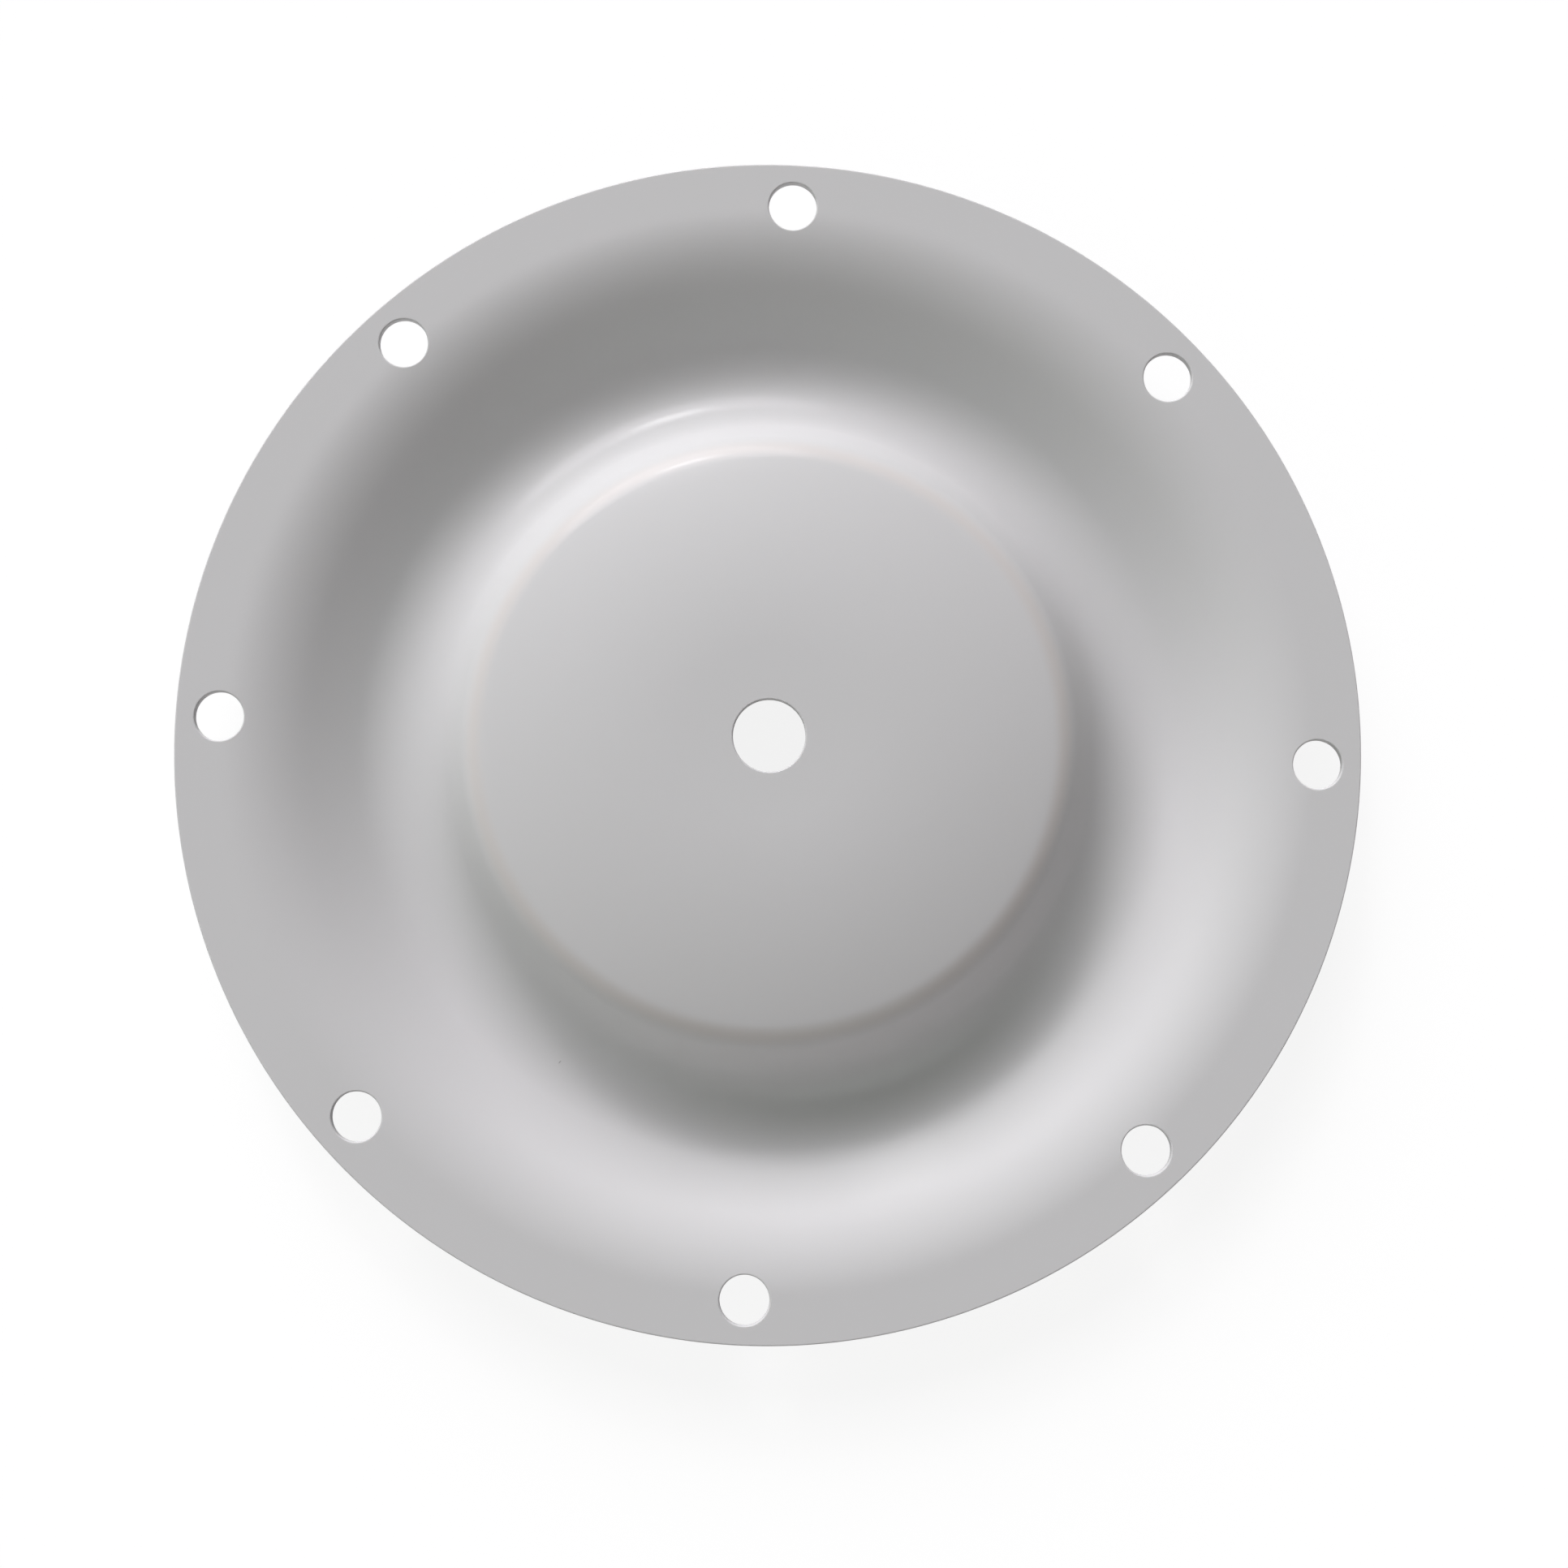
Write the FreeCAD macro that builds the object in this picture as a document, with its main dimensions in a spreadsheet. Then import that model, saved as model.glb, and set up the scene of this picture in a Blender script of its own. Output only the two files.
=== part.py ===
import FreeCAD, Part
import Sketcher
import math
import os

# Pump diaphragm: one moulded white fluoropolymer sheet of even thickness.
# A bolted outer flange, one open roll that flexes, and a slightly crowned
# centre disc that the pump's two plates clamp round the shaft's stud.
# Millimetres. Z is the axis of the diaphragm, the open side of the roll looks
# up, and the origin is the centre of the bolt circle in the flange's lower face.

# Driving dimensions
dimensions = {
    # the sheet and its flange
    "wall": 1.5,
    "outlineDiameter": 218.0,
    "boltHole": 9.0,
    "boltCount": 8,
    # in from the rim to the bolt circle, and on to where the shoulder starts
    "boltMargin": 8.0,
    "shoulderMargin": 1.0,
    # the roll, all of it given on the upper face
    "shoulderRadius": 25.5,
    "outerWallAngle": 34.0,
    "rollRadius": 12.0,
    "rollDepth": 11.9,
    "innerWallAngle": 60.0,
    # the centre disc
    "discCornerRadius": 8.0,
    "crownRadius": 158.0,
    "crownFlat": 32.0,
    "crownHeight": 8.6,
    "centreHole": 13.0,
    # the broken edges of the rim and of the centre hole
    "edgeBreak": 0.3,
}

document = FreeCAD.newDocument("diaphragm")
sheet = document.addObject("Spreadsheet::Sheet", "Dimensions")
for row, (alias, value) in enumerate(dimensions.items(), start=1):
    sheet.set(f"A{row}", alias)
    sheet.set(f"B{row}", str(value))
    sheet.setAlias(f"B{row}", alias)
document.recompute()


def size(alias):
    return float(sheet.get(alias))


body = document.addObject("PartDesign::Body", "Diaphragm")
body.Label = "diaphragm"
body.Placement = FreeCAD.Placement()


def originFeature(role):
    return next(item for item in body.Origin.OriginFeatures if item.Role == role)


# Section of the sheet
# The upper and lower faces are offset curves: each pair of arcs shares a centre
# and differs in radius by the wall, so the sheet is as thick in the roll as in
# the flange. The tangent points below are where the constraints then hold them.

wall = size("wall")
flangeTop = wall
outerAngle = math.radians(size("outerWallAngle"))
innerAngle = math.radians(size("innerWallAngle"))
rollRadius = size("rollRadius")
shoulderRadius = size("shoulderRadius")
cornerRadius = size("discCornerRadius")
crownRadius = size("crownRadius")
rimRadius = size("outlineDiameter") / 2
boltX = rimRadius - size("boltMargin")
holeRadius = size("centreHole") / 2

shoulderCentre = FreeCAD.Vector(boltX - size("shoulderMargin"), flangeTop - shoulderRadius, 0)
# The straight part of the outer wall takes the drop that the two arcs leave.
outerNormal = FreeCAD.Vector(-math.sin(outerAngle), math.cos(outerAngle), 0)
outerSlope = FreeCAD.Vector(math.cos(outerAngle), math.sin(outerAngle), 0)
arcDrop = (rollRadius + shoulderRadius) * (1 - math.cos(outerAngle))
outerRun = (size("rollDepth") - arcDrop) / math.sin(outerAngle)
rollCentre = shoulderCentre + outerNormal * (shoulderRadius + rollRadius) - outerSlope * outerRun

innerNormal = FreeCAD.Vector(math.sin(innerAngle), math.cos(innerAngle), 0)
innerSlope = FreeCAD.Vector(-math.cos(innerAngle), math.sin(innerAngle), 0)
crownCentre = FreeCAD.Vector(size("crownFlat") / 2, flangeTop + size("crownHeight") - crownRadius, 0)
# The corner's arc touches the inner wall's line and the crown's arc from inside.
wallOffset = rollCentre - innerNormal * (rollRadius + cornerRadius)
reach = wallOffset - crownCentre
along = reach.dot(innerSlope)
innerRun = -along + math.sqrt(along**2 - reach.dot(reach) + (crownRadius - cornerRadius) ** 2)
cornerCentre = wallOffset + innerSlope * innerRun
crownNormal = (cornerCentre - crownCentre).normalize()

section = body.newObject("Sketcher::SketchObject", "SheetSection")
section.AttachmentSupport = [(originFeature("XZ_Plane"), "")]
section.MapMode = "FlatFace"


def line(start, end):
    return section.addGeometry(Part.LineSegment(start, end), False)


def arc(centre, radius, startAngle, endAngle):
    circle = Part.Circle(centre, FreeCAD.Vector(0, 0, 1), radius)
    return section.addGeometry(Part.ArcOfCircle(circle, startAngle, endAngle), False)


def constrain(*definition):
    return section.addConstraint(Sketcher.Constraint(*definition))


def drive(name, formula, *definition):
    index = constrain(*definition)
    section.renameConstraint(index, name)
    section.setExpression(f"Constraints.{name}", formula)


def face(depth):
    """Outline of the sheet's face that lies this deep in it, from the centre outwards."""
    upright = math.pi / 2
    crownAngle = math.atan2(crownNormal.y, crownNormal.x)
    crownTop = crownCentre + FreeCAD.Vector(0, crownRadius - depth, 0)
    shoulderTop = shoulderCentre + FreeCAD.Vector(0, shoulderRadius - depth, 0)
    innerHigh = cornerCentre + innerNormal * (cornerRadius - depth)
    innerLow = rollCentre - innerNormal * (rollRadius + depth)
    outerLow = rollCentre - outerNormal * (rollRadius + depth)
    outerHigh = shoulderCentre + outerNormal * (shoulderRadius - depth)
    return {
        "flat": line(FreeCAD.Vector(holeRadius, crownTop.y, 0), crownTop),
        "crown": arc(crownCentre, crownRadius - depth, crownAngle, upright),
        "corner": arc(cornerCentre, cornerRadius - depth, upright - innerAngle, crownAngle),
        "innerWall": line(innerHigh, innerLow),
        "roll": arc(rollCentre, rollRadius + depth, -upright - innerAngle, -upright + outerAngle),
        "outerWall": line(outerLow, outerHigh),
        "shoulder": arc(shoulderCentre, shoulderRadius - depth, upright, upright + outerAngle),
        "flange": line(shoulderTop, FreeCAD.Vector(rimRadius, shoulderTop.y, 0)),
    }


upper = face(0)
lower = face(wall)
rim = line(FreeCAD.Vector(rimRadius, 0, 0), FreeCAD.Vector(rimRadius, flangeTop, 0))
bore = line(
    FreeCAD.Vector(holeRadius, crownCentre.y + crownRadius, 0),
    FreeCAD.Vector(holeRadius, crownCentre.y + crownRadius - wall, 0),
)

# Arcs run counter-clockwise, so those that bulge upwards start at their outer end.
start, end, centre = 1, 2, 3
origin = (-1, 1)
for side in (upper, lower):
    constrain("Tangent", side["flat"], end, side["crown"], end)
    constrain("Tangent", side["crown"], start, side["corner"], end)
    constrain("Tangent", side["corner"], start, side["innerWall"], start)
    constrain("Tangent", side["innerWall"], end, side["roll"], start)
    constrain("Tangent", side["roll"], end, side["outerWall"], start)
    constrain("Tangent", side["outerWall"], end, side["shoulder"], end)
    constrain("Tangent", side["shoulder"], start, side["flange"], start)
    constrain("Horizontal", side["flat"])
    constrain("Horizontal", side["flange"])
constrain("Coincident", upper["flange"], end, rim, end)
constrain("Coincident", lower["flange"], end, rim, start)
constrain("Coincident", upper["flat"], start, bore, start)
constrain("Coincident", lower["flat"], start, bore, end)
constrain("Vertical", rim)
constrain("Vertical", bore)
for edge in ("crown", "corner", "roll", "shoulder"):
    constrain("Coincident", upper[edge], centre, lower[edge], centre)

# The wall reaches the lower face as its arcs' radii, and its corner's follows from tangency.
for edge, radius in (("shoulder", shoulderRadius), ("roll", rollRadius), ("crown", crownRadius)):
    drive(edge, f"Dimensions.{edge}Radius", "Radius", upper[edge], radius)
drive("corner", "Dimensions.discCornerRadius", "Radius", upper["corner"], cornerRadius)
below = (("shoulder", shoulderRadius, -1), ("roll", rollRadius, 1), ("crown", crownRadius, -1))
for edge, radius, side in below:
    formula = f"Dimensions.{edge}Radius + {side} * Dimensions.wall"
    drive(f"{edge}Below", formula, "Radius", lower[edge], radius + side * wall)

boltFormula = "Dimensions.outlineDiameter / 2 - Dimensions.boltMargin"
shoulderFormula = f"{boltFormula} - Dimensions.shoulderMargin"
across = ("DistanceX", *origin)
drive("rim", "Dimensions.outlineDiameter / 2", *across, upper["flange"], end, rimRadius)
drive("shoulderStart", shoulderFormula, *across, upper["flange"], start, shoulderCentre.x)
drive("flatEdge", "Dimensions.crownFlat / 2", *across, upper["flat"], end, crownCentre.x)
drive("bore", "Dimensions.centreHole / 2", *across, upper["flat"], start, holeRadius)

upwards = ("DistanceY", *origin)
crownFormula = "Dimensions.wall + Dimensions.crownHeight"
rollFormula = "Dimensions.wall - Dimensions.rollDepth + Dimensions.rollRadius"
drive("flangeTop", "Dimensions.wall", *upwards, upper["flange"], start, flangeTop)
drive("crownTop", crownFormula, *upwards, upper["flat"], end, crownCentre.y + crownRadius)
drive("rollCentre", rollFormula, *upwards, upper["roll"], centre, rollCentre.y)
drive("outerWall", "Dimensions.outerWallAngle * 1 deg", "Angle", upper["outerWall"], outerAngle)
drive("innerWall", "-Dimensions.innerWallAngle * 1 deg", "Angle", upper["innerWall"], -innerAngle)
document.recompute()

moulded = body.newObject("PartDesign::Revolution", "MouldedSheet")
moulded.Profile = section
moulded.ReferenceAxis = (section, ["V_Axis"])
moulded.Angle = 360
document.recompute()


# Broken edges of the rim and of the centre hole
def isCutEdge(edge):
    if not isinstance(edge.Curve, Part.Circle):
        return False
    return min(abs(edge.Curve.Radius - rimRadius), abs(edge.Curve.Radius - holeRadius)) < 0.001


cutEdges = [f"Edge{number}" for number, edge in enumerate(moulded.Shape.Edges, 1) if isCutEdge(edge)]
brokenEdges = body.newObject("PartDesign::Chamfer", "BrokenEdges")
brokenEdges.Base = (moulded, cutEdges)
brokenEdges.setExpression("Size", "Dimensions.edgeBreak")
document.recompute()

# Bolt holes
# They straddle the circle where the flat of the flange starts to roll over, and
# are punched square through the sheet. One on the X axis is repeated round Z.
boltRadius = size("boltHole") / 2
punch = body.newObject("Sketcher::SketchObject", "BoltHoleSection")
punch.AttachmentSupport = [(originFeature("XY_Plane"), "")]
punch.MapMode = "FlatFace"
circle = Part.Circle(FreeCAD.Vector(boltX, 0, 0), FreeCAD.Vector(0, 0, 1), boltRadius)
ring = punch.addGeometry(circle, False)
punch.addConstraint(Sketcher.Constraint("PointOnObject", ring, centre, -1))
place = punch.addConstraint(Sketcher.Constraint("DistanceX", *origin, ring, centre, boltX))
bolt = punch.addConstraint(Sketcher.Constraint("Diameter", ring, 2 * boltRadius))
punch.setExpression(f"Constraints[{place}]", boltFormula)
punch.setExpression(f"Constraints[{bolt}]", "Dimensions.boltHole")
document.recompute()

boltHole = body.newObject("PartDesign::Pocket", "BoltHole")
boltHole.Profile = punch
boltHole.Type = "ThroughAll"
boltHole.Midplane = True
document.recompute()

boltHoles = body.newObject("PartDesign::PolarPattern", "BoltHoles")
boltHoles.Originals = [boltHole]
boltHoles.Axis = (originFeature("Z_Axis"), [""])
boltHoles.Angle = 360
boltHoles.setExpression("Occurrences", "Dimensions.boltCount")
body.Tip = boltHoles
document.recompute()

# Checks before anything is written
for item in document.Objects:
    if "Invalid" in item.State or "Error" in item.State:
        raise RuntimeError(f"{item.Label} failed: {item.State}")
for sketch in (section, punch):
    if sketch.solve() != 0 or not sketch.FullyConstrained:
        raise RuntimeError(f"{sketch.Label} isn't fully constrained")
uncut = brokenEdges.Shape.Volume
oneHole = uncut - boltHole.Shape.Volume
if oneHole < 0.98 * math.pi * boltRadius**2 * wall:
    raise RuntimeError("the bolt hole doesn't go through the flange")
if abs(uncut - boltHoles.Shape.Volume - size("boltCount") * oneHole) > 0.01 * oneHole:
    raise RuntimeError("the bolt holes aren't all cut")
shape = body.Shape
if shape.isNull() or not shape.isValid() or len(shape.Solids) != 1:
    raise RuntimeError("the diaphragm isn't one valid solid")

os.makedirs("parts", exist_ok=True)
shape.exportStep(os.path.join("parts", body.Label + ".step"))
print(f"{body.Label}: volume {shape.Volume:.1f} mm3, box {shape.BoundBox}")
discEdge = cornerCentre.x + cornerRadius * crownNormal.x
print(f"roll circle {2 * rollCentre.x:.2f} mm, disc edge {2 * discEdge:.2f} mm")
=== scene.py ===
import math

import bmesh
import bpy
from mathutils import Euler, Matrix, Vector


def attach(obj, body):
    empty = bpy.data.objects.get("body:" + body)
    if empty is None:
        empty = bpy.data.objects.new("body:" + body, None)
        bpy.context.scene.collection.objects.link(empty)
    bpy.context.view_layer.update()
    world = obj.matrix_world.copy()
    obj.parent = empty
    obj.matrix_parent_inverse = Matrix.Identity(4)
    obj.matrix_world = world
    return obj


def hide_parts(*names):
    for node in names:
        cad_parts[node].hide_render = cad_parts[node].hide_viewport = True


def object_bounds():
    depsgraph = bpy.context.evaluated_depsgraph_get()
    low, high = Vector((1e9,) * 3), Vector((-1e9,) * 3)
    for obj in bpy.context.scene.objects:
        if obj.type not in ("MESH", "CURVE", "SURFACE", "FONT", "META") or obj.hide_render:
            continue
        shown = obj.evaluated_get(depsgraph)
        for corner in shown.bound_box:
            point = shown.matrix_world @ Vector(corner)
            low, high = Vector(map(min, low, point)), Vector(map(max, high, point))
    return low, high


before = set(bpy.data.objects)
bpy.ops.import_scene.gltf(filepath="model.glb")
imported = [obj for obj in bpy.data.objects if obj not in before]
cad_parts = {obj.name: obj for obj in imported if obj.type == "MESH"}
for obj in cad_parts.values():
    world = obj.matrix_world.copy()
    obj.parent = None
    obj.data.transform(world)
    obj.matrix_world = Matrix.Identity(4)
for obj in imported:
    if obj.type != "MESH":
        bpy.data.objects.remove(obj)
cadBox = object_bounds()
mm = 0.001
down = Vector((0, -1, 0))   # turning about it takes the X axis up to Z


# The moulded sheet

sheetSizes = {               # millimetres, the same as the solid's
    "wall": 1.5,
    "outlineDiameter": 218.0,
    "boltHole": 9.0,
    "boltCount": 8,
    "boltMargin": 8.0,       # from the rim in to the bolt circle
    "shoulderMargin": 1.0,   # and on to where the shoulder starts
    "shoulderRadius": 25.5,
    "outerWallAngle": 34.0,
    "rollRadius": 12.0,
    "rollDepth": 11.9,
    "innerWallAngle": 60.0,
    "discCornerRadius": 8.0,
    "crownRadius": 158.0,
    "crownFlat": 32.0,
    "crownHeight": 8.6,
    "centreHole": 13.0,
    "edgeBreak": 0.3,
}
sheetMesh = {                # how finely each stretch is divided
    "turnSteps": 360,
    "flat": 3,
    "crown": 12,
    "corner": 12,
    "innerWall": 4,
    "roll": 28,
    "outerWall": 5,
    "shoulderFree": 11,      # the shoulder inside the holes' windows
    "shoulderHoles": 7,      # the shoulder and the flange across them
    "flangeHoles": 9,
    "flangeRim": 2,
    "windowHalfTurn": 8,     # steps either side of a hole
    "windowInner": 94.0,
    "windowOuter": 108.0,
    "windowMargin": 0.2,
    "holeRings": 5,
    "breakSegments": 3,
    "breakAngle": 55.0,      # edges sharper than this are rounded over
    "weldDistance": 0.001,
}


def boltRadius(sizes):
    return sizes["outlineDiameter"] / 2 - sizes["boltMargin"]


def shoulderStart(sizes):
    return boltRadius(sizes) - sizes["shoulderMargin"]


def extendLine(sheet, vertex, run, rise, cuts):
    for _ in range(cuts):
        made = bmesh.ops.extrude_vert_indiv(sheet, verts=[vertex])
        vertex = made["verts"][0]
        bmesh.ops.translate(sheet, verts=[vertex], vec=Vector((run, 0, rise)) / cuts)
    return vertex


def extendArc(sheet, vertex, centre, angle, steps):
    made = bmesh.ops.spin(sheet, geom=[vertex], cent=centre, axis=-down, angle=angle, steps=steps)
    return next(item for item in made["geom_last"] if isinstance(item, bmesh.types.BMVert))


def drawSection(sheet, sizes, cuts):
    # The upper face's line from the centre hole to the rim, as tangent arcs and straights.
    top = sizes["wall"]
    outer = math.radians(sizes["outerWallAngle"])
    inner = math.radians(sizes["innerWallAngle"])
    roll, shoulder, corner, crown = (
        sizes[name] for name in ("rollRadius", "shoulderRadius", "discCornerRadius", "crownRadius")
    )
    shoulderCentre = Vector((shoulderStart(sizes), 0, top - shoulder))
    outerNormal = Vector((-math.sin(outer), 0, math.cos(outer)))
    outerSlope = Vector((math.cos(outer), 0, math.sin(outer)))
    outerRun = (sizes["rollDepth"] - (roll + shoulder) * (1 - math.cos(outer))) / math.sin(outer)
    rollCentre = shoulderCentre + outerNormal * (shoulder + roll) - outerSlope * outerRun
    innerNormal = Vector((math.sin(inner), 0, math.cos(inner)))
    innerSlope = Vector((-math.cos(inner), 0, math.sin(inner)))
    crownCentre = Vector((sizes["crownFlat"] / 2, 0, top + sizes["crownHeight"] - crown))
    wallOffset = rollCentre - innerNormal * (roll + corner)
    reach = wallOffset - crownCentre
    along = reach.dot(innerSlope)
    innerRun = -along + math.sqrt(along**2 - reach.dot(reach) + (crown - corner) ** 2)
    cornerCentre = wallOffset + innerSlope * innerRun
    crownTurn = math.atan2(cornerCentre.x - crownCentre.x, cornerCentre.z - crownCentre.z)

    flatRun = (sizes["crownFlat"] - sizes["centreHole"]) / 2
    first = bmesh.ops.create_vert(sheet, co=(sizes["centreHole"] / 2, 0, top + sizes["crownHeight"]))
    vertex = extendLine(sheet, first["vert"][0], flatRun, 0, cuts["flat"])
    vertex = extendArc(sheet, vertex, crownCentre, crownTurn, cuts["crown"])
    vertex = extendArc(sheet, vertex, cornerCentre, inner - crownTurn, cuts["corner"])
    fall = -innerSlope * innerRun
    vertex = extendLine(sheet, vertex, fall.x, fall.z, cuts["innerWall"])
    vertex = extendArc(sheet, vertex, rollCentre, -inner - outer, cuts["roll"])
    climb = outerSlope * outerRun
    vertex = extendLine(sheet, vertex, climb.x, climb.z, cuts["outerWall"])
    windowTurn = math.asin((shoulderStart(sizes) - cuts["windowInner"]) / shoulder)
    vertex = extendArc(sheet, vertex, shoulderCentre, outer - windowTurn, cuts["shoulderFree"])
    vertex = extendArc(sheet, vertex, shoulderCentre, windowTurn, cuts["shoulderHoles"])
    flangeRun = cuts["windowOuter"] - shoulderStart(sizes)
    vertex = extendLine(sheet, vertex, flangeRun, 0, cuts["flangeHoles"])
    extendLine(sheet, vertex, sizes["outlineDiameter"] / 2 - cuts["windowOuter"], 0, cuts["flangeRim"])


def surfaceHeight(radius, sizes):
    # The upper face near the bolt circle: the shoulder's arc, then the flat flange.
    inward = max(0.0, shoulderStart(sizes) - radius)
    return sizes["wall"] - sizes["shoulderRadius"] + math.sqrt(sizes["shoulderRadius"] ** 2 - inward**2)


def punchHole(sheet, turn, sizes, cuts):
    halfTurn = cuts["windowHalfTurn"] * math.tau / cuts["turnSteps"]
    axis = Vector((math.cos(turn), math.sin(turn), 0))

    def inWindow(place, margin):
        radius = place.xy.length
        aside = abs(place.xy.angle_signed(axis.xy, 0.0))
        inside = cuts["windowInner"] - margin < radius < cuts["windowOuter"] + margin
        return inside and aside < halfTurn + margin / radius

    cutFaces = [face for face in sheet.faces if inWindow(face.calc_center_median(), 0)]
    bmesh.ops.delete(sheet, geom=cutFaces, context="FACES")
    window = [
        edge for edge in sheet.edges
        if edge.is_boundary and all(inWindow(vertex.co, cuts["windowMargin"]) for vertex in edge.verts)
    ]
    place = Vector((boltRadius(sizes), 0, sizes["wall"]))
    made = bmesh.ops.create_circle(sheet, segments=len(window), radius=sizes["boltHole"] / 2)
    bmesh.ops.translate(sheet, verts=made["verts"], vec=place)
    bmesh.ops.rotate(sheet, verts=made["verts"], cent=(0, 0, 0), matrix=Euler((0, 0, turn)).to_matrix())
    rim = [edge for edge in sheet.edges if all(vertex in made["verts"] for vertex in edge.verts)]
    bridge = bmesh.ops.bridge_loops(sheet, edges=window + rim)
    bmesh.ops.subdivide_edges(
        sheet, edges=bridge["edges"], cuts=cuts["holeRings"] - 1, use_grid_fill=True,
    )
    for vertex in sheet.verts:
        if inWindow(vertex.co, 0):
            vertex.co.z = surfaceHeight(vertex.co.xy.length, sizes)


def sortSheet(sheet):
    # A spin leaves its edges and faces in another order at each run, and this puts them in one.
    def rank(item):
        numbers = [vertex.index for vertex in item.verts]
        return min(numbers) * len(sheet.verts) + max(numbers)

    sheet.verts.index_update()
    sheet.edges.sort(key=rank)
    sheet.faces.sort(key=rank)


def makeSheet(sizes, cuts):
    sheet = bmesh.new()
    drawSection(sheet, sizes, cuts)
    bmesh.ops.spin(
        sheet, geom=sheet.verts[:] + sheet.edges[:], cent=(0, 0, 0), axis=(0, 0, 1),
        angle=math.tau, steps=cuts["turnSteps"], use_merge=True,
    )
    bmesh.ops.remove_doubles(sheet, verts=sheet.verts, dist=cuts["weldDistance"])
    sortSheet(sheet)
    for number in range(sizes["boltCount"]):
        punchHole(sheet, number * math.tau / sizes["boltCount"], sizes, cuts)
    bmesh.ops.recalc_face_normals(sheet, faces=sheet.faces)
    if sum(face.normal.z for face in sheet.faces) < 0:
        bmesh.ops.reverse_faces(sheet, faces=sheet.faces)
    bmesh.ops.scale(sheet, verts=sheet.verts, vec=(mm, mm, mm))
    for face in sheet.faces:
        face.smooth = True
    mesh = bpy.data.meshes.new("mouldedSheet")
    sheet.to_mesh(mesh)
    sheet.free()
    piece = bpy.data.objects.new("mouldedSheet", mesh)
    bpy.context.collection.objects.link(piece)

    wall = piece.modifiers.new("wall", "SOLIDIFY")
    wall.thickness = sizes["wall"] * mm
    wall.offset = -1
    wall.use_even_offset = True
    wall.use_quality_normals = True
    edges = piece.modifiers.new("brokenEdges", "BEVEL")
    edges.width = sizes["edgeBreak"] * mm
    edges.segments = cuts["breakSegments"]
    edges.limit_method = "ANGLE"
    edges.angle_limit = math.radians(cuts["breakAngle"])
    edges.harden_normals = True
    return piece


# The white fluoropolymer's satin skin

skinLook = {
    "colour": (0.650, 0.648, 0.652, 1),
    "shade": (0.636, 0.636, 0.634, 1),
    "roughness": 0.56,           # of the disc and the roll's inner side
    "roughnessOutside": 0.62,
    "roughnessSpread": 0.04,
    "ior": 1.40,
    "coat": 0.22,                # the thin polish that shows the lamps as streaks
    "coatOutside": 0.05,
    "coatRoughness": 0.16,
    "subsurface": 0.06,
    "subsurfaceReach": (1.0, 0.85, 0.75),
    "subsurfaceScale": 0.0015,
    "pattern": {                 # the skin group's inputs, in metres or for each metre
        "Clouds": 22.0,
        "Grain": 1900.0,
        "Grain Height": 0.000004,
        "Waves": 26.0,
        "Wave Height": 0.00005,
        "Turning": 650.0,        # the rings that a turned mould leaves outside the disc
        "Turning Height": 0.0000025,
        "Turning Start": 0.056,
        "Turning Fade": 0.003,
        "Turning Drift": 0.03,   # how far the rings are from perfect circles
        "Outside Start": 0.068,  # the roll's floor, where the polish ends
        "Outside End": 0.078,
        # where the painted shade round the disc's corner crease lies, and how far it reaches
        "Shaded Crease Radius": 0.0537,
        "Shaded Crease Reach": 0.0024,
    },
    "creaseShadeColour": (1.0, 0.965, 0.940, 1),      # painted shade: a warm, slightly darker line painted round the crease at the disc's corner
    "nick": {"place": (-0.0366, -0.0611, -0.0104), "turn": 53.0, "reach": (0.00052, 0.00016, 0.001)},
    "nickColour": (0.30, 0.30, 0.30, 1),
    "nickDepth": 0.00002,
}


def feed(tree, socket, value):
    # Another node's socket is linked, and a plain number, vector or colour is written.
    if isinstance(value, bpy.types.NodeSocket):
        tree.links.new(value, socket)
    else:
        socket.default_value = value


def addNode(tree, kind, place, values=None, **settings):
    node = tree.nodes.new(kind)
    node.location = place
    for name, setting in settings.items():
        setattr(node, name, setting)
    for name, value in (values or {}).items():
        feed(tree, node.inputs[name], value)
    return node


def calculate(tree, place, operation, *values):
    values = dict(enumerate(values))
    return addNode(tree, "ShaderNodeMath", place, values, operation=operation).outputs["Value"]


def calculateVector(tree, place, operation, *values):
    values = dict(enumerate(values))
    node = addNode(tree, "ShaderNodeVectorMath", place, values, operation=operation)
    return node.outputs["Value" if operation in ("LENGTH", "DOT_PRODUCT") else "Vector"]


def smoothRange(tree, place, value, start, end):
    # Nought at the start and one at the end, with an easy curve between them.
    values = {"Value": value, "From Min": start, "From Max": end}
    node = addNode(tree, "ShaderNodeMapRange", place, values, interpolation_type="SMOOTHSTEP")
    return node.outputs["Result"]


def noise(tree, place, where, scale, detail, roughness):
    values = {"Vector": where, "Scale": scale, "Detail": detail, "Roughness": roughness}
    return addNode(tree, "ShaderNodeTexNoise", place, values).outputs[0]


def mixColours(tree, place, share, first, second, blend="MIX"):
    values = {"Factor": share, "A": first, "B": second}
    node = addNode(tree, "ShaderNodeMix", place, values, data_type="RGBA", blend_type=blend)
    return node.outputs["Result"]


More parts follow.
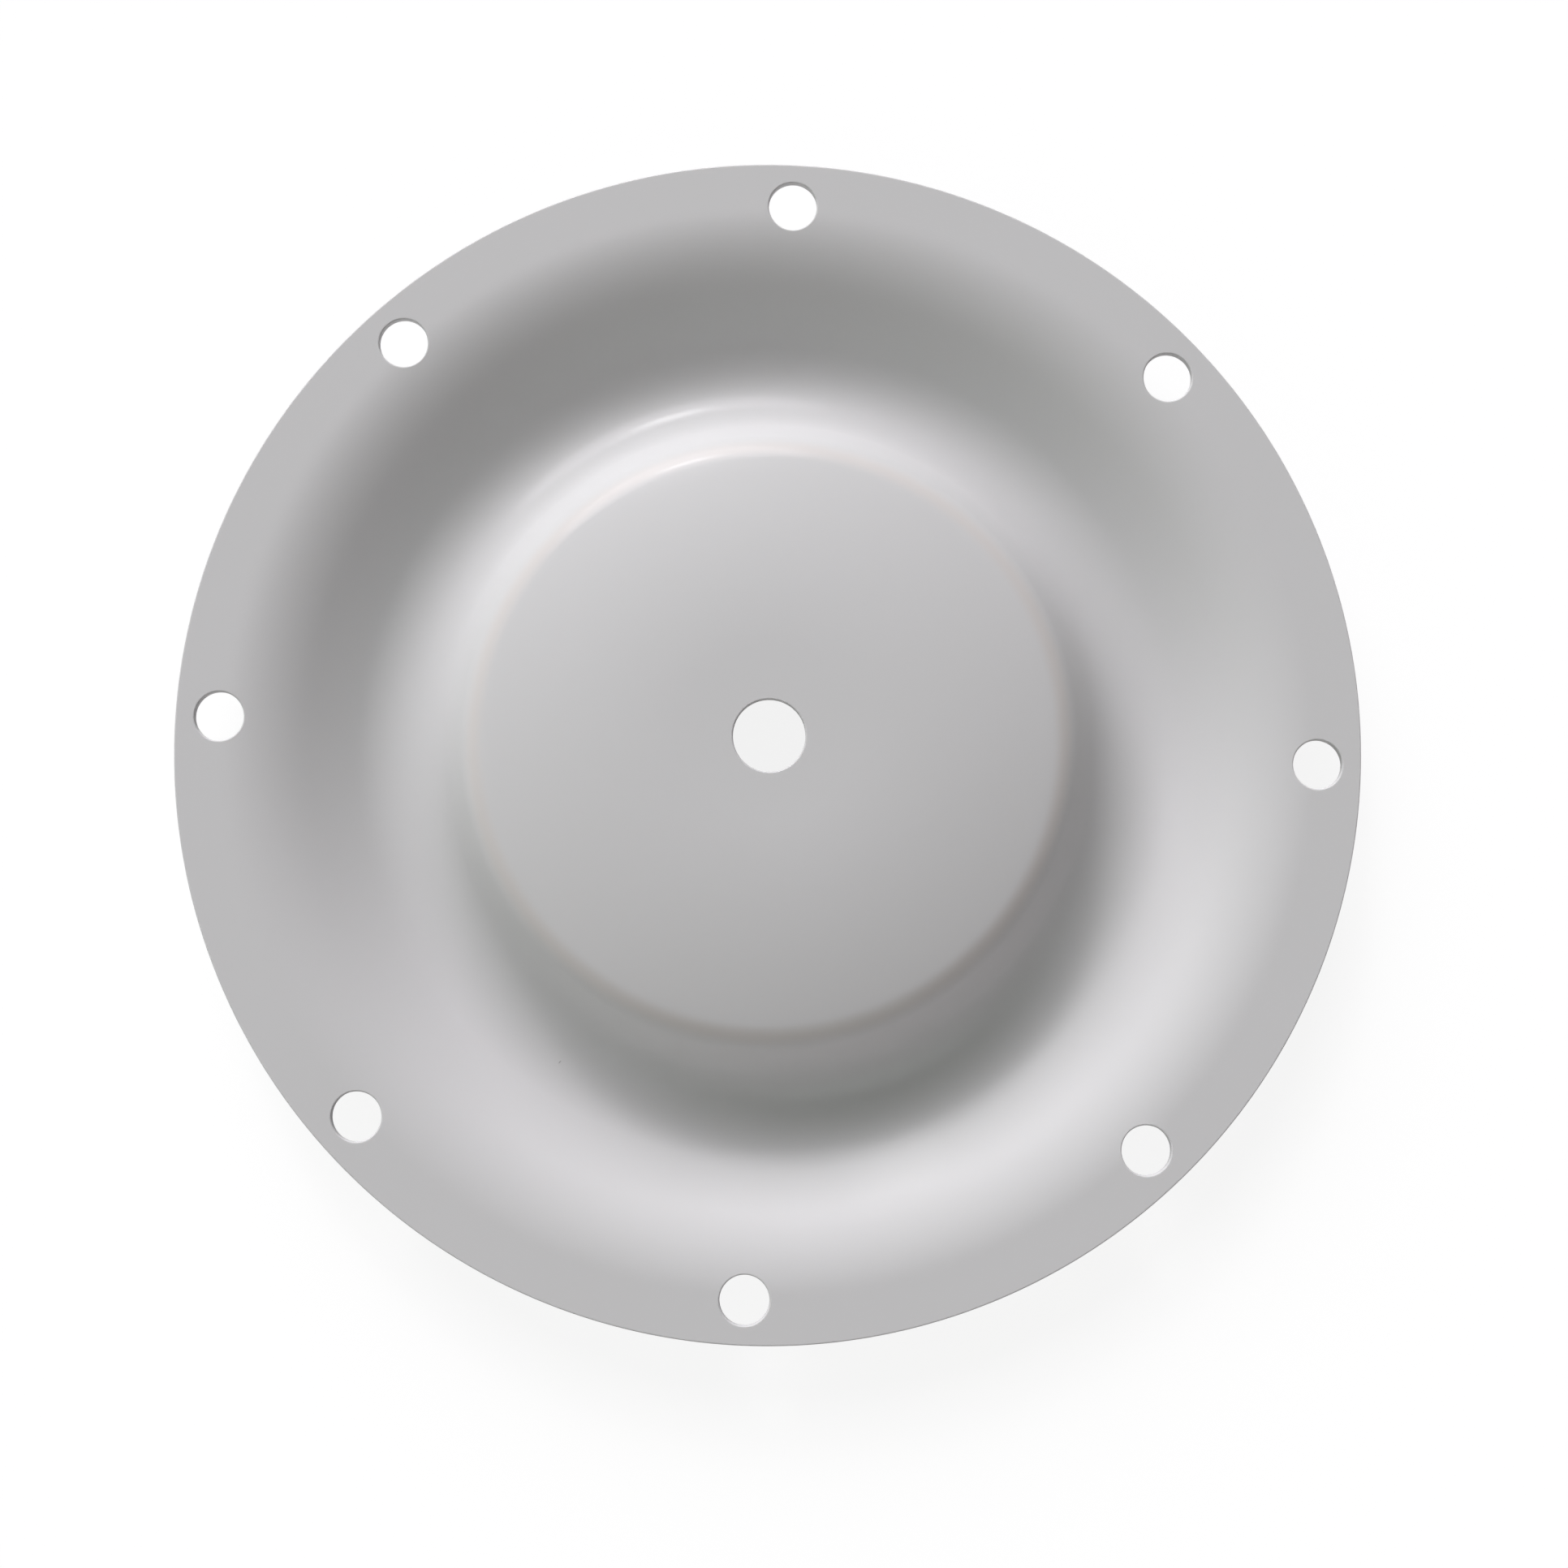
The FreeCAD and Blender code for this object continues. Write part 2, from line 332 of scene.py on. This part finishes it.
def satinSkinGroup(pattern):
    # Clouds for tone and gloss, painted shade as a warm, darker line round the disc's corner crease,
    # and the height of
    # # fine grain, of turning marks and of long waves.
    group = bpy.data.node_groups.new("satinSkin", "ShaderNodeTree")
    for name in pattern:
        group.interface.new_socket(name, in_out="INPUT", socket_type="NodeSocketFloat")
    for name in ("Tone", "Gloss", "Outside", "Crease Shade", "Height"):
        group.interface.new_socket(name, in_out="OUTPUT", socket_type="NodeSocketFloat")
    inlet = addNode(group, "NodeGroupInput", (-1500, 0)).outputs
    where = addNode(group, "ShaderNodeTexCoord", (-1500, 400)).outputs["Object"]

    tone = noise(group, (-600, 600), where, inlet["Clouds"], detail=3.0, roughness=0.55)
    gloss = noise(group, (-600, 350), where, inlet["Waves"], detail=4.0, roughness=0.6)
    grain = noise(group, (-600, 100), where, inlet["Grain"], detail=2.0, roughness=0.6)
    waves = noise(group, (-600, -150), where, inlet["Waves"], detail=1.0, roughness=0.4)

    flat = calculateVector(group, (-1300, -400), "MULTIPLY", where, (1, 1, 0))
    radius = calculateVector(group, (-1100, -400), "LENGTH", flat)
    drift = calculateVector(group, (-1100, -600), "MULTIPLY", flat, inlet["Turning Drift"])
    outwards = addNode(group, "ShaderNodeCombineXYZ", (-900, -400), {"X": radius}).outputs[0]
    wound = calculateVector(group, (-750, -400), "ADD", outwards, drift)
    rings = noise(group, (-600, -400), wound, inlet["Turning"], detail=2.0, roughness=0.5)
    start = inlet["Turning Start"]
    fadeStart = calculate(group, (-750, -650), "SUBTRACT", start, inlet["Turning Fade"])
    turned = smoothRange(group, (-600, -650), radius, fadeStart, start)
    rings = calculate(group, (-200, -400), "MULTIPLY", rings, turned)

    height = calculate(group, (-200, 100), "MULTIPLY", grain, inlet["Grain Height"])
    height = calculate(group, (0, 0), "MULTIPLY_ADD", waves, inlet["Wave Height"], height)
    height = calculate(group, (200, -100), "MULTIPLY_ADD", rings, inlet["Turning Height"], height)

    # painted shade: one on the disc's corner crease, fading to nought away from it
    fromLine = calculate(group, (-600, -900), "SUBTRACT", radius, inlet["Shaded Crease Radius"])
    fromLine = calculate(group, (-400, -900), "ABSOLUTE", fromLine)
    cold = smoothRange(group, (-200, -900), fromLine, 0.0, inlet["Shaded Crease Reach"])
    creaseShadeMask = calculate(group, (0, -900), "SUBTRACT", 1.0, cold)
    outside = smoothRange(group, (-600, -1150), radius, inlet["Outside Start"], inlet["Outside End"])
    results = {"Tone": tone, "Gloss": gloss, "Outside": outside, "Crease Shade": creaseShadeMask, "Height": height}
    addNode(group, "NodeGroupOutput", (600, 0), results)
    return group


def markMask(tree, place, where, mark):
    # One in the middle of an oval mark and nought at its edge.
    left, low = place
    turn = (0, 0, math.radians(mark["turn"]))
    values = {"Vector": where, "Location": mark["place"], "Rotation": turn, "Scale": mark["reach"]}
    oval = addNode(tree, "ShaderNodeMapping", place, values, vector_type="TEXTURE").outputs[0]
    away = calculateVector(tree, (left + 200, low), "LENGTH", oval)
    return smoothRange(tree, (left + 400, low), away, 1.0, 0.0)


def fluoropolymer(look):
    material = bpy.data.materials.new("whiteFluoropolymer")
    material.use_nodes = True
    tree = material.node_tree
    pattern = look["pattern"]
    group = satinSkinGroup(pattern)
    skin = addNode(tree, "ShaderNodeGroup", (-900, 0), pattern, node_tree=group).outputs
    where = addNode(tree, "ShaderNodeTexCoord", (-1700, 300)).outputs["Object"]
    nick = markMask(tree, (-1500, 500), where, look["nick"])

    clouded = mixColours(tree, (-700, 350), skin["Tone"], look["shade"], look["colour"])
    # painted shade: the base colour is darkened and warmed along the disc's corner crease
    creaseShaded = mixColours(tree, (-500, 350), skin["Crease Shade"], clouded, look["creaseShadeColour"], "MULTIPLY")
    marked = mixColours(tree, (-300, 350), nick, creaseShaded, look["nickColour"])

    matter = look["roughnessOutside"] - look["roughness"]
    sheen = calculate(tree, (-700, 0), "MULTIPLY_ADD", skin["Outside"], matter, look["roughness"])
    spread = look["roughnessSpread"]
    uneven = calculate(tree, (-700, -150), "MULTIPLY_ADD", skin["Gloss"], 2 * spread, -spread)
    roughness = calculate(tree, (-500, 0), "ADD", sheen, uneven)
    duller = look["coatOutside"] - look["coat"]
    polish = calculate(tree, (-500, -150), "MULTIPLY_ADD", skin["Outside"], duller, look["coat"])

    height = calculate(tree, (-700, -300), "MULTIPLY_ADD", nick, -look["nickDepth"], skin["Height"])
    relief = addNode(tree, "ShaderNodeBump", (-500, -300), {"Distance": 1.0, "Height": height})
    shader = tree.nodes["Principled BSDF"]
    for name, value in {
        "Base Color": marked,
        "Roughness": roughness,
        "IOR": look["ior"],
        "Coat Weight": polish,
        "Coat Roughness": look["coatRoughness"],
        "Subsurface Weight": look["subsurface"],
        "Subsurface Radius": look["subsurfaceReach"],
        "Subsurface Scale": look["subsurfaceScale"],
        "Normal": relief.outputs["Normal"],
    }.items():
        feed(tree, shader.inputs[name], value)
    return material


mouldedSheet = makeSheet(sheetSizes, sheetMesh)
mouldedSheet.data.materials.append(fluoropolymer(skinLook))
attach(mouldedSheet, "root")
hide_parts("diaphragm")
print("moulded sheet made")


# Floor, light and camera

stageLook = {
    "floorSize": 6.0,
    "floorColour": (0.80, 0.80, 0.80, 1),
    "floorWhite": 0.78,          # how much of the floor that the camera sees is plain white
    "floorGlow": 1.12,
    "backdrop": (1, 1, 1, 1),
    "ambient": (0.482, 0.497, 0.464),
    "ambientSlopes": {           # how much each colour of it grows along X, Y and Z
        "red": (-0.42, -0.30, -0.85),
        "green": (-0.50, -0.15, -0.85),
        "blue": (-0.46, -0.25, -0.85),
    },
    "lamps": {                   # turn from X round Z and height over the floor, in degrees
        "key": {
            "energy": 3.04, "angle": 44.0, "turn": 109.5, "height": 26.7, "colour": (0.99, 0.94, 1.0),
        },
        "window": {
            "energy": 0.52, "angle": 10.0, "turn": 107.5, "height": 28.5, "colour": (1.0, 1.0, 1.0),
        },
        "fill": {
            "energy": 0.19, "angle": 30.0, "turn": 291.5, "height": 32.5, "colour": (0.75, 1.0, 0.88),
        },
    },
    "lens": 40.994,
    "sensorWidth": 36.0,
    "nearClip": 0.01,
    "cameraPlace": (1.428, -33.036, 327.703),
    "cameraTurn": (4.38720, -0.47933, 2.48714),
}


def seenDirectly(tree, place):
    # One for what the camera, a reflection or a see-through surface looks at.
    left, low = place
    path = addNode(tree, "ShaderNodeLightPath", place).outputs
    seen = calculate(tree, (left + 200, low), "MAXIMUM", path["Is Camera Ray"], path["Is Glossy Ray"])
    return calculate(tree, (left + 400, low), "MAXIMUM", seen, path["Is Transmission Ray"])


def layFloor(look):
    ground = bmesh.new()
    bmesh.ops.create_grid(ground, x_segments=1, y_segments=1, size=look["floorSize"] / 2)
    bmesh.ops.translate(ground, verts=ground.verts, vec=(0, 0, cadBox[0][2]))
    mesh = bpy.data.meshes.new("floor")
    ground.to_mesh(mesh)
    ground.free()
    floor = bpy.data.objects.new("floor", mesh)
    bpy.context.collection.objects.link(floor)
    material = bpy.data.materials.new("paleFloor")
    material.use_nodes = True
    tree = material.node_tree
    tree.nodes.remove(tree.nodes["Principled BSDF"])
    matt = addNode(tree, "ShaderNodeBsdfDiffuse", (-300, 100), {"Color": look["floorColour"]})
    glow = addNode(tree, "ShaderNodeEmission", (-300, -100), {"Strength": look["floorGlow"]})
    seen = seenDirectly(tree, (-900, 300))
    share = calculate(tree, (-300, 300), "MULTIPLY", seen, look["floorWhite"])
    values = {0: share, 1: matt.outputs[0], 2: glow.outputs[0]}
    blend = addNode(tree, "ShaderNodeMixShader", (0, 100), values)
    feed(tree, tree.nodes["Material Output"].inputs["Surface"], blend.outputs[0])
    mesh.materials.append(material)


def surroundWithLight(look):
    world = bpy.data.worlds.new("softBox")
    world.use_nodes = True
    bpy.context.scene.world = world
    tree = world.node_tree
    direction = addNode(tree, "ShaderNodeTexCoord", (-1100, 0)).outputs["Generated"]
    growth = {
        row: calculateVector(tree, (-900, -200 * row), "DOT_PRODUCT", direction, slope)
        for row, slope in enumerate(look["ambientSlopes"].values())
    }
    growth = addNode(tree, "ShaderNodeCombineXYZ", (-700, 0), growth).outputs[0]
    level = calculateVector(tree, (-500, 0), "ADD", growth, (1, 1, 1))
    ambient = calculateVector(tree, (-300, 0), "MULTIPLY", level, look["ambient"])
    seen = seenDirectly(tree, (-900, 300))
    backdrop = mixColours(tree, (-100, 200), seen, ambient, look["backdrop"])
    feed(tree, tree.nodes["Background"].inputs["Color"], backdrop)


def hangLamp(name, lamp):
    light = bpy.data.lights.new(name, "SUN")
    light.energy = lamp["energy"]
    light.angle = math.radians(lamp["angle"])
    light.color = lamp["colour"]
    holder = bpy.data.objects.new(name, light)
    holder.rotation_euler = Euler((0, math.radians(90 - lamp["height"]), math.radians(lamp["turn"])))
    bpy.context.collection.objects.link(holder)


def placeCamera(look):
    lensData = bpy.data.cameras.new("camera")
    lensData.lens = look["lens"]
    lensData.sensor_width = look["sensorWidth"]
    lensData.clip_start = look["nearClip"]
    camera = bpy.data.objects.new("camera", lensData)
    camera.location = Vector(look["cameraPlace"]) * mm
    camera.rotation_euler = Euler([math.radians(angle) for angle in look["cameraTurn"]])
    bpy.context.collection.objects.link(camera)
    bpy.context.scene.camera = camera


layFloor(stageLook)
surroundWithLight(stageLook)
for lampName, lampLook in stageLook["lamps"].items():
    hangLamp(lampName, lampLook)
placeCamera(stageLook)
bpy.context.scene.view_settings.view_transform = "Standard"
print("stage set")
